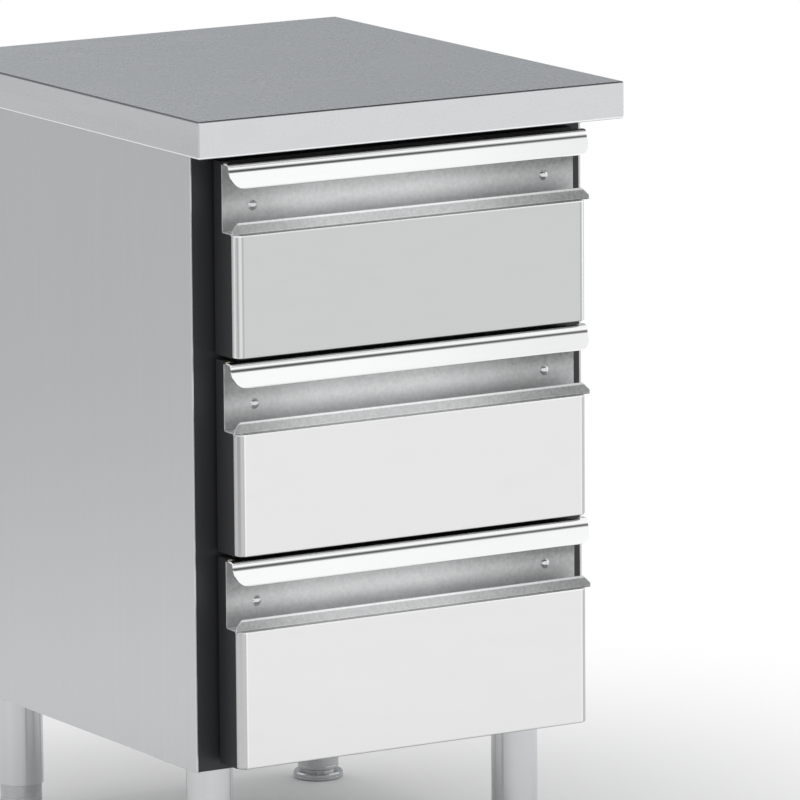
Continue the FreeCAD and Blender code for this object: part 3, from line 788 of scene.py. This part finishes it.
class Shaper:
    """Builds meshes from rings and closed outlines."""

    def __init__(self, name: str) -> None:
        """Start an empty piece."""
        self.name = name
        self.mesh = bmesh.new()

    def circle(self, radius: float, height: float, sides: int = 96) -> list[Corner]:
        """Add the corners of a wide level circle."""
        turns = (math.tau * step / sides for step in range(sides))
        return [self.mesh.verts.new((radius * math.cos(turn), radius * math.sin(turn), height)) for turn in turns]

    def bridge(self, first: list[Corner], second: list[Corner]) -> None:
        """Join two closed rings of as many corners."""
        for near, near_after, far, far_after in zip(first, first[1:] + first[:1], second, second[1:] + second[:1]):
            self.mesh.faces.new((near, near_after, far_after, far))

    def turn(self, rings: Sequence[Ring], seat: Matrix, segments: int = 48) -> None:
        """Add a turned solid.

        Args:
            rings: Its rings, from one end to the other.
            seat: Where its axis stands.
            segments: Points round the axis.
        """
        loops = []
        for ring in rings:
            loop = []
            for step in range(segments):
                angle = math.tau * step / segments
                reach = ring.outline.reach(ring.radius, angle, ring.height)
                point = Vector((reach * math.cos(angle), reach * math.sin(angle), ring.height))
                loop.append(self.mesh.verts.new(seat @ point))
            loops.append(loop)
        for before, after in zip(loops, loops[1:]):
            self.bridge(before, after)
        self.mesh.faces.new(list(reversed(loops[0])))
        self.mesh.faces.new(loops[-1])

    def sweep(self, loops: Sequence[Sequence[Triple]]) -> None:
        """Add a closed ring of the same outline.

        Args:
            loops: The outline at each corner of the ring.
        """
        made = [[self.mesh.verts.new(point) for point in loop] for loop in loops]
        for before, after in zip(made, made[1:] + made[:1]):
            self.bridge(before, after)

    def finish(self, sharp: float = 34.0, closed: bool = True) -> Item:
        """Finish the piece.

        Args:
            sharp: Folds sharper than this many degrees stay crisp.
            closed: The piece is a solid, whose faces are turned outward.

        Returns:
            The object.
        """
        if closed:
            bmesh.ops.recalc_face_normals(self.mesh, faces=self.mesh.faces)
        for face in self.mesh.faces:
            face.smooth = True
        for edge in self.mesh.edges:
            edge.smooth = edge.calc_face_angle(0.0) < math.radians(sharp)
        data = bpy.data.meshes.new(self.name)
        self.mesh.to_mesh(data)
        self.mesh.free()
        piece = bpy.data.objects.new(self.name, data)
        bpy.context.scene.collection.objects.link(piece)
        return piece


def seat_at(point: Vector, facing: Vector) -> Matrix:
    """Frame with its Z axis facing a way, at a point."""
    return Matrix.Translation(point) @ facing.to_track_quat("Z", "Y").to_matrix().to_4x4()


@dataclass(frozen=True)
class SocketScrew:
    """Button-head screw with a hexagon socket."""

    head: float = 11.0 * MM
    height: float = 3.5 * MM
    rim: float = 0.5 * MM
    shank: float = 6.0 * MM
    length: float = 10.0 * MM
    socket: float = 4.0 * MM
    depth: float = 2.2 * MM

    @property
    def rings(self) -> list[Ring]:
        """Rings from the socket's floor over the head to the shank's end."""
        radius, mouth, floor = self.head / 2, self.socket / 2, self.height - self.depth
        return [Ring(mouth * 0.2, floor, Outline.HEX), Ring(mouth, floor, Outline.HEX),
                Ring(mouth, self.height - 0.2 * MM, Outline.HEX), Ring(mouth + 0.55 * MM, self.height),
                *dome(mouth + 0.7 * MM, radius, self.rim, self.height, 8),
                Ring(radius, self.rim), Ring(radius - 0.1 * MM, 0.0), *shank(self.shank / 2, self.length)]


@dataclass(frozen=True)
class CrossScrew:
    """Pan-head screw with a cross recess."""

    head: float = 8.0 * MM
    height: float = 2.5 * MM
    rim: float = 0.4 * MM
    shank: float = 4.0 * MM
    length: float = 14.0 * MM
    recess: float = 2.2 * MM
    depth: float = 1.5 * MM

    @property
    def rings(self) -> list[Ring]:
        """Rings from the recess over the head to the shank's end."""
        radius, mouth = self.head / 2, self.recess
        return [Ring(0.3 * MM, self.height - self.depth),
                Ring(mouth * 0.5, self.height - self.depth * 0.8, Outline.CROSS),
                Ring(mouth, self.height - 0.15 * MM, Outline.CROSS), Ring(mouth + 0.35 * MM, self.height),
                *dome(mouth + 0.4 * MM, radius, self.rim, self.height, 7),
                Ring(radius, self.rim), Ring(radius, 0.0), *shank(self.shank / 2, self.length)]


@dataclass(frozen=True)
class BlindRivet:
    """Small blind rivet with the dimple of its pulled pin."""

    head: float = 6.4 * MM
    height: float = 1.3 * MM
    rim: float = 0.25 * MM
    pin: float = 1.1 * MM

    @property
    def rings(self) -> list[Ring]:
        """Rings from the dimple to the rim."""
        radius, edge = self.head / 2, self.pin + 0.15 * MM
        return [Ring(self.pin * 0.4, self.height - 0.35 * MM), Ring(self.pin, self.height - 0.3 * MM),
                Ring(self.pin, self.height - 0.02 * MM), Ring(edge, self.height),
                *dome(edge, radius, self.rim, self.height, 6),
                Ring(radius, self.rim), Ring(radius, 0.0), Ring(radius / 2, 0.0)]


Fastener = Union[SocketScrew, CrossScrew, BlindRivet]


def fasteners(name: str, kind: Fastener, seats: Iterable[Vector], facing: Vector, segments: int = 36) -> Item:
    """Row of like fasteners in one piece.

    Args:
        name: Name of the piece.
        kind: The fastener.
        seats: Points where the heads sit.
        facing: Way that the heads look.
        segments: Points round each head.

    Returns:
        The piece.
    """
    shaper = Shaper(name)
    for point in seats:
        shaper.turn(kind.rings, seat_at(point, facing), segments)
    return shaper.finish()


@dataclass
class Worktop:
    """Folded steel top over its board."""

    palette: Palette

    def dress(self) -> None:
        """Finish skin and board."""
        self.palette.dress(Palette.WORKTOP, "worktop_skin")
        self.palette.dress(Palette.BOARD, "worktop_core")


@dataclass
class Cabinet:
    """Outer sheets, insulation, lining and front frame."""

    palette: Palette
    rivet_inset: float = 7.0 * MM
    rivets_each_side: int = 6
    rivet_margin: float = 40.0 * MM

    def dress(self) -> None:
        """Finish every sheet and frame part."""
        sheets = ("side_panel_left", "side_panel_right", "back_panel", "base_panel", "top_panel")
        self.palette.dress(Palette.CABINET, *sheets)
        self.palette.dress(Palette.LINER, "inner_liner")
        # The frame's black stands in for the shade of the gaps: painted shade.
        self.palette.dress(Palette.FRAME_GAP_SHADE, "front_frame")
        self.palette.dress(Palette.TRANSOM, "transoms")
        self.palette.dress(Palette.FOAM, "insulation")
        self.palette.dress(Palette.RAIL, "rail_posts")

    def build_rear_rivets(self) -> None:
        """Blind rivets that hold the side panels' rear returns."""
        low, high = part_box("side_panel_left")
        _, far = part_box("side_panel_right")
        bottom, top = low.z + self.rivet_margin, high.z - self.rivet_margin
        seats = []
        for x in (low.x + self.rivet_inset, far.x - self.rivet_inset):
            for count in range(self.rivets_each_side):
                z = bottom + (top - bottom) * count / (self.rivets_each_side - 1)
                seats.append(Vector((x, high.y, z)))
        piece = fasteners("rear_rivets", BlindRivet(), seats, Vector(BACKWARD))
        self.palette.place(piece, Palette.FASTENER, "fastener_steel", CABINET)


@dataclass
class Legs:
    """Tubular legs, their screws, welds and levelling feet."""

    palette: Palette
    screw_pitch: float = 68.0 * MM
    tube: float = 50.0 * MM
    bead: float = 2.2 * MM
    bead_steps: int = 144
    bead_turns: int = 6
    ripples: int = 36
    ripple: float = 0.10
    hollow: float = 0.25
    root: float = 0.3 * MM
    pad: float = 56.0 * MM
    pad_top: float = 8.0 * MM
    collar: float = 46.0 * MM
    collar_low: float = 11.0 * MM
    collar_top: float = 42.0 * MM
    fillet: float = 1.5 * MM
    waist: float = 40.0 * MM
    stem: float = 16.0 * MM
    stem_top: float = 102.0 * MM
    thread_step: float = 1.0 / 3.0 * MM
    foot_segments: int = 144

    def dress(self) -> None:
        """Finish the legs."""
        self.palette.dress(Palette.LEG, "legs")

    def build_screws(self) -> None:
        """Socket screws through the leg plates."""
        screw = SocketScrew()
        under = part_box("leg_screws")[0].z + screw.height
        reach = self.screw_pitch / 2
        corners = [Vector((x, y, under)) for x in (-reach, reach) for y in (-reach, reach)]
        seats = [foot.centre() + corner for foot in Foot for corner in corners]
        piece = fasteners("leg_socket_screws", screw, seats, Vector(DOWN))
        self.palette.place(piece, Palette.FASTENER, "fastener_steel", CABINET, "leg_screws")

    def build_welds(self) -> None:
        """Rippled bead between each tube and its plate."""
        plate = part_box("leg_screws")[0].z + SocketScrew().height
        leans = [turn / self.bead_turns * QUARTER for turn in range(self.bead_turns + 1)]
        shaper = Shaper("leg_welds")
        for foot in Foot:
            centre = foot.centre() + Vector((0, 0, plate))
            loops = []
            for step in range(self.bead_steps):
                angle = math.tau * step / self.bead_steps
                swell = self.bead * (1 + self.ripple * math.cos(self.ripples * angle))
                out = Vector((math.cos(angle), math.sin(angle), 0))
                loop = []
                for lean in leans:
                    rise = swell * (1 - self.hollow * math.sin(2 * lean))
                    reach = self.tube / 2 + rise * math.cos(lean)
                    loop.append(tuple(centre + out * reach - Vector((0, 0, rise * math.sin(lean)))))
                loop.append(tuple(centre + out * (self.tube / 2 - self.root)))
                loops.append(loop)
            shaper.sweep(loops)
        self.palette.place(shaper.finish(60.0), Palette.WELD, "leg_steel", CABINET)

    @property
    def foot_rings(self) -> list[Ring]:
        """Rings of a foot from its sole to the end of its thread."""
        pad, waist, collar, stem = self.pad / 2, self.waist / 2, self.collar / 2, self.stem / 2
        fillet, groove, low, top = self.fillet, pad - 0.5 * MM, self.collar_low, self.collar_top
        rings = [Ring(pad * 0.5, 0.0), Ring(pad - fillet, 0.0), Ring(pad, fillet), Ring(pad, 3.0 * MM),
                 Ring(groove, 3.3 * MM), Ring(groove, 3.7 * MM), Ring(pad, 4.0 * MM),
                 Ring(pad, self.pad_top - fillet), Ring(pad - fillet, self.pad_top), Ring(waist, self.pad_top),
                 Ring(waist, low), Ring(collar - fillet, low), *dome(collar - fillet, collar, low + fillet, low, 4),
                 Ring(collar, low + fillet), Ring(collar, 15.0 * MM), Ring(collar - 0.4 * MM, 15.4 * MM)]
        rings += [Ring(collar - 0.3 * MM, (16.0 + step) * MM, Outline.KNURL) for step in range(0, 12, 2)]
        rings += [Ring(collar - 0.4 * MM, 27.0 * MM), Ring(collar, 27.4 * MM), Ring(collar, top - 0.6 * MM),
                  Ring(collar - 0.6 * MM, top), Ring(stem - 1.0 * MM, top)]
        height = top + 1.0 * MM
        while height < self.stem_top - 2.0 * MM:
            rings.append(Ring(stem, height, Outline.THREAD))
            height += self.thread_step
        return rings + [Ring(stem - 1.0 * MM, self.stem_top - 1.5 * MM), Ring(stem - 2.2 * MM, self.stem_top)]

    def build_feet(self) -> None:
        """Turned feet with a knurled collar and a threaded stem."""
        for foot in Foot:
            shaper = Shaper(f"{foot.value}_turned")
            shaper.turn(self.foot_rings, Matrix.Translation(foot.centre()), self.foot_segments)
            self.palette.place(shaper.finish(), Palette.FOOT, "foot_steel", foot.value, foot.value)


@dataclass
class DrawerFront:
    """Face, grip, finger recess, cover and seal of one drawer."""

    palette: Palette
    drawer: Drawer
    seal_width: float = 10.0 * MM

    def dress(self) -> None:
        """Finish the front's parts."""
        # The top drawer's face takes the darker copy of the front steel: painted shade.
        face = Palette.SHADED_TOP_FACE if self.drawer is Drawer.TOP else Palette.FACE
        finishes = {"face": face, "grip_channel": Palette.CHANNEL, "grip": Palette.GRIP, "rivets": Palette.FASTENER,
                    "front_core": Palette.FOAM, "inner_cover": Palette.PLASTIC}
        for piece, finish in finishes.items():
            self.palette.dress(finish, self.drawer.node(piece))

    def seal_outline(self, depth: float) -> list[tuple[float, float]]:
        """Section of the bellows seal.

        Args:
            depth: Size of the seal from the cover to the frame.

        Returns:
            Points, each as distance in from the seal's outer edge and distance towards the frame.
        """
        shares = [(0.0, 0.0), (0.0, 0.16), (0.14, 0.20), (0.05, 0.30), (0.14, 0.40), (0.04, 0.48), (0.13, 0.56),
                  (0.04, 0.64), (0.02, 0.92), (0.10, 1.0), (0.90, 1.0), (0.98, 0.92), (0.96, 0.64), (0.87, 0.56),
                  (0.96, 0.48), (0.86, 0.40), (0.95, 0.30), (0.86, 0.20), (1.0, 0.16), (1.0, 0.0)]
        return [(inward * self.seal_width, forward * depth) for inward, forward in shares]

    def build_seal(self) -> None:
        """Bellows seal with mitred corners."""
        low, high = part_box(self.drawer.node("gasket"))
        outline = self.seal_outline(high.y - low.y)
        loops = []
        for side, up in ((-1, -1), (1, -1), (1, 1), (-1, 1)):
            loops.append([(side * (high.x - inward), low.y + forward, low.z + inward if up < 0 else high.z - inward)
                          for inward, forward in outline])
        shaper = Shaper(f"{self.drawer.value}_bellows_seal")
        shaper.sweep(loops)
        seal, drawer = shaper.finish(20.0), self.drawer
        self.palette.place(seal, Palette.SEAL, "gasket_rubber", drawer.body, drawer.node("gasket"))


@dataclass
class DrawerBox:
    """Steel box behind one front, with its screws."""

    palette: Palette
    drawer: Drawer
    spread: float = 240.0 * MM
    rises: tuple[float, float] = (30.0 * MM, 105.0 * MM)

    def dress(self) -> None:
        """Finish the box."""
        self.palette.dress(Palette.BOX, self.drawer.node("box"))

    def build_screws(self) -> None:
        """Cross-recessed screws inside the box."""
        screw = CrossScrew()
        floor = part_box(self.drawer.node("box"))[0].z
        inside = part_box(self.drawer.node("box_screws"))[1].y - screw.height
        seats = [Vector((side * self.spread / 2, inside, floor + rise)) for side in (-1, 1) for rise in self.rises]
        piece = fasteners(f"{self.drawer.value}_cross_screws", screw, seats, Vector(BACKWARD), segments=64)
        self.palette.place(piece, Palette.FASTENER, "fastener_steel", self.drawer.body, self.drawer.node("box_screws"))


@dataclass
class Runners:
    """Telescopic runners of one drawer."""

    palette: Palette
    drawer: Drawer

    def dress(self) -> None:
        """Finish rails and cages."""
        rails, cages = ("inner_rails", "middle_rails", "outer_rails"), ("inner_cages", "outer_cages")
        for finish, pieces in ((Palette.RAIL, rails), (Palette.BEARING, cages)):
            self.palette.dress(finish, *(self.drawer.node(piece) for piece in pieces))


@dataclass(frozen=True)
class SoftLamp:
    """Rectangular soft lamp."""

    name: str
    place: Triple
    target: Triple
    width: float
    height: float
    glow: float
    mirrored: bool = True

    def build(self) -> None:
        """Place the lamp and aim it."""
        data = bpy.data.lights.new(self.name, "AREA")
        data.shape = "RECTANGLE"
        data.size = self.width
        data.size_y = self.height
        data.energy = self.glow * math.pi * self.width * self.height
        lamp = bpy.data.objects.new(self.name, data)
        bpy.context.scene.collection.objects.link(lamp)
        lamp.location = self.place
        lamp.rotation_mode = "QUATERNION"
        lamp.rotation_quaternion = (Vector(self.target) - Vector(self.place)).to_track_quat("-Z", "Y")
        lamp.visible_camera = False
        lamp.visible_glossy = self.mirrored


class Bend(Enum):
    """Which way a bend runs. The value is the way that it turns to, from facing the front."""

    LEVEL = UP
    UPRIGHT = (-1.0, 0.0, 0.0)

    def normal(self, turn: float) -> Vector:
        """Outward direction of the bend at one of its turns."""
        return math.cos(turn) * Vector(FORWARD) + math.sin(turn) * Vector(self.value)

    @property
    def along(self) -> Vector:
        """Direction in which the bend runs."""
        return Vector(self.value).cross(Vector(FORWARD))


@dataclass(frozen=True)
class Card:
    """Grey studio card that only reflections show, set where a long bend mirrors it to the camera.

    The card follows the bend's turn from low to high, in degrees. Its tone changes evenly along the bend.
    """

    name: str
    bend: Bend
    place: Triple
    low: float
    high: float
    distance: float
    width: float
    tone: float
    far_tone: float
    steps: int = 12

    def centre(self, view: Vector, step: int) -> Vector:
        """Point of the card that the bend shows at a step of its turn to a camera that looks along view."""
        turn = math.radians(self.low + (self.high - self.low) * step / self.steps)
        return Vector(self.place) + self.distance * view.reflect(self.bend.normal(turn))

    def build(self, view: Vector) -> None:
        """Place the card.

        Args:
            view: Direction in which the camera looks.
        """
        shaper = Shaper(self.name)
        half = self.bend.along * self.width / 2
        rows = []
        for step in range(self.steps + 1):
            centre = self.centre(view, step)
            rows.append([shaper.mesh.verts.new(centre - half), shaper.mesh.verts.new(centre + half)])
        for before, after in zip(rows, rows[1:]):
            shaper.mesh.faces.new((*before, *reversed(after)))
        piece = shaper.finish()
        material, graph = new_material(self.name)
        place = graph.vector("DOT_PRODUCT", graph.place, self.bend.along)
        middle = self.centre(view, self.steps // 2).dot(self.bend.along)
        tone = graph.ramp(place, middle - self.width / 2, middle + self.width / 2, self.tone, self.far_tone)
        graph.end(graph.add("Emission", {"Strength": tone}))
        piece.data.materials.append(material)
        hide_from_all_but_reflections(piece)


def hide_from_all_but_reflections(piece: Item) -> None:
    """Leave a studio card or wall to glossy rays alone.

    Args:
        piece: The card or wall.
    """
    for ray in ("camera", "diffuse", "shadow", "transmission"):
        setattr(piece, f"visible_{ray}", False)


@dataclass(frozen=True)
class Studio:
    """Pale floor, white surroundings, soft lamps, cards and the camera."""

    floor_radius: float = 14.0
    floor_tone: float = 0.93
    floor_drop: float = 0.2 * MM
    unevenness: float = 0.02
    shadow_reach: float = 0.40
    white_from: float = 1.15
    rear_fall: float = 0.30
    rear_from: float = -0.5
    rear_to: float = 3.0
    ambient: float = 0.72
    wall_radius: float = 7.0
    wall_low: float = 0.30
    wall_high: float = 4.4
    wall_rise: float = 0.5
    wall_fall: float = 0.8
    wall_tone: float = 0.40
    wall_cast: float = 0.03
    lens: float = 390.6
    eye: Triple = (-4.6422, -7.9822, 2.1925)
    right: Triple = (0.85616, -0.51665, -0.00737)
    up: Triple = (0.10015, 0.15194, 0.98330)
    forward: Triple = (0.50691, 0.84261, -0.18183)

    def _seen_white(self, graph: Graph) -> Socket:
        """Mask of what the camera, a reflection or a view through glass sees.

        Args:
            graph: Graph that needs the mask.

        Returns:
            The wire that carries 1 there and 0 elsewhere.
        """
        path = graph.add("LightPath").outputs
        seen = graph.calc("MAXIMUM", path["Is Camera Ray"], path["Is Glossy Ray"])
        return graph.calc("MAXIMUM", seen, path["Is Transmission Ray"])

    def build_floor(self) -> None:
        """Pale floor that keeps the shadow, fades to white further off and is clear from below."""
        shaper = Shaper("studio_floor")
        shaper.mesh.faces.new(shaper.circle(self.floor_radius, -self.floor_drop))
        floor = shaper.finish(closed=False)
        material, graph = new_material("studio_floor")
        darkest = self.floor_tone - self.unevenness / 2
        grey = graph.calc("MULTIPLY_ADD", graph.noise(graph.place, 1.7, 3.0), self.unevenness, darkest)
        paper = graph.add("BsdfDiffuse", {"Color": graph.even(grey)})
        behind = graph.ramp(graph.part(graph.place, "Y"), self.rear_from, self.rear_to, 0.0, self.rear_fall)
        mirrored = graph.add("LightPath").outputs["Is Glossy Ray"]
        strength = graph.calc("SUBTRACT", 1.0, graph.calc("MULTIPLY", behind, mirrored))
        glow = graph.add("Emission", {"Strength": strength})
        far = graph.ramp(graph.vector("LENGTH", graph.place), self.shadow_reach, self.white_from)
        pale = graph.either(graph.calc("MULTIPLY", far, self._seen_white(graph)), paper, glow)
        below = graph.add("NewGeometry").outputs["Backfacing"]
        graph.end(graph.either(below, pale, graph.add("BsdfTransparent")))
        floor.data.materials.append(material)

    def build_world(self) -> None:
        """White surroundings for the eye and for reflections, softer as a lamp."""
        world = bpy.data.worlds.new("studio_white")
        bpy.context.scene.world = world
        world.use_nodes = True
        graph = Graph(world.node_tree)
        strength = graph.mix(self._seen_white(graph), self.ambient, 1.0)
        graph.end(graph.add("Background", {"Color": (1.0, 1.0, 1.0, 1.0), "Strength": strength}), "OutputWorld")

    def build_wall(self) -> None:
        """Grey wall behind the unit, which only reflections show."""
        shaper = Shaper("studio_wall")
        shaper.bridge(*(shaper.circle(self.wall_radius, height) for height in (self.wall_low, self.wall_high)))
        wall = shaper.finish()
        material, graph = new_material("studio_wall")
        height = graph.part(graph.place, "Z")
        low = graph.ramp(height, self.wall_low, self.wall_low + self.wall_rise, 1.0, self.wall_tone)
        high = graph.ramp(height, self.wall_high - self.wall_fall, self.wall_high, self.wall_tone, 1.0)
        front = graph.ramp(graph.part(graph.place, "Y"), 0.0, self.rear_to, 1.0, self.wall_tone)
        tone = graph.calc("MAXIMUM", graph.calc("MAXIMUM", low, high), front)
        cast = graph.calc("MULTIPLY_ADD", tone, self.wall_cast, -self.wall_cast)
        rgb = {"X": graph.calc("ADD", tone, cast), "Y": tone, "Z": graph.calc("SUBTRACT", tone, cast)}
        graph.end(graph.add("Emission", {"Color": graph.add("CombineXYZ", rgb).outputs[0]}))
        wall.data.materials.append(material)
        hide_from_all_but_reflections(wall)

    def build_lamps(self) -> None:
        """Soft lamps: above the front, overhead, and an upright one on each side."""
        SoftLamp("key_lamp", (1.9, -2.6, 3.0), (0.0, 0.0, 0.6), 1.7, 1.3, 1.6, mirrored=False).build()
        SoftLamp("overhead_lamp", (-0.4, -0.3, 4.6), (0.0, 0.0, 0.6), 2.6, 2.6, 1.5, mirrored=False).build()
        SoftLamp("left_lamp", (-2.6, -0.9, 0.9), (0.0, -0.1, 0.5), 0.9, 1.7, 0.5).build()
        SoftLamp("right_lamp", (2.7, -0.5, 0.9), (0.0, -0.1, 0.5), 0.9, 1.7, 0.5).build()

    def build_cards(self) -> None:
        """Grey cards that draw the bends of grips, worktop and fronts."""
        view = Vector(self.forward)
        Card("crease_card", Bend.LEVEL, (0.0, -0.29, 0.585), 13.5, 26.5, 5.0, 0.95, 0.45, 1.0).build(view)
        Card("grip_card", Bend.LEVEL, (0.16, -0.29, 0.585), 28.5, 36.0, 5.0, 0.50, 1.0, 0.83).build(view)
        Card("worktop_card", Bend.LEVEL, (0.0, -0.30, 0.85), 44.0, 78.0, 3.6, 0.9, 0.04, 0.04).build(view)
        Card("side_card", Bend.UPRIGHT, (-0.215, -0.29, 0.45), 38.0, 62.0, 1.7, 1.5, 0.62, 0.62).build(view)

    def build_camera(self) -> None:
        """Long lens from the left front, a little above the top."""
        data = bpy.data.cameras.new("camera")
        data.lens = self.lens
        data.clip_end = 100.0
        camera = bpy.data.objects.new("camera", data)
        bpy.context.scene.collection.objects.link(camera)
        axes = Matrix((self.right, self.up, tuple(-value for value in self.forward))).transposed()
        camera.matrix_world = Matrix.Translation(self.eye) @ axes.to_4x4()
        bpy.context.scene.camera = camera
        bpy.context.scene.view_settings.view_transform = "Standard"

    def build(self) -> None:
        """Set up the whole studio."""
        self.build_camera()
        self.build_floor()
        self.build_world()
        self.build_wall()
        self.build_lamps()
        self.build_cards()
        LOG.info("studio is set")


def main() -> None:
    """Dress the unit, add its fittings and set up the studio."""
    logging.basicConfig(level=logging.INFO, format="%(message)s")
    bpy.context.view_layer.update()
    palette = Palette()
    Studio().build()
    Worktop(palette).dress()
    cabinet = Cabinet(palette)
    cabinet.dress()
    cabinet.build_rear_rivets()
    legs = Legs(palette)
    legs.dress()
    legs.build_screws()
    legs.build_welds()
    legs.build_feet()
    for drawer in Drawer:
        front = DrawerFront(palette, drawer)
        front.dress()
        front.build_seal()
        box = DrawerBox(palette, drawer)
        box.dress()
        box.build_screws()
        Runners(palette, drawer).dress()
        LOG.info("%s is ready", drawer.body)


if __name__ == "__main__":
    main()
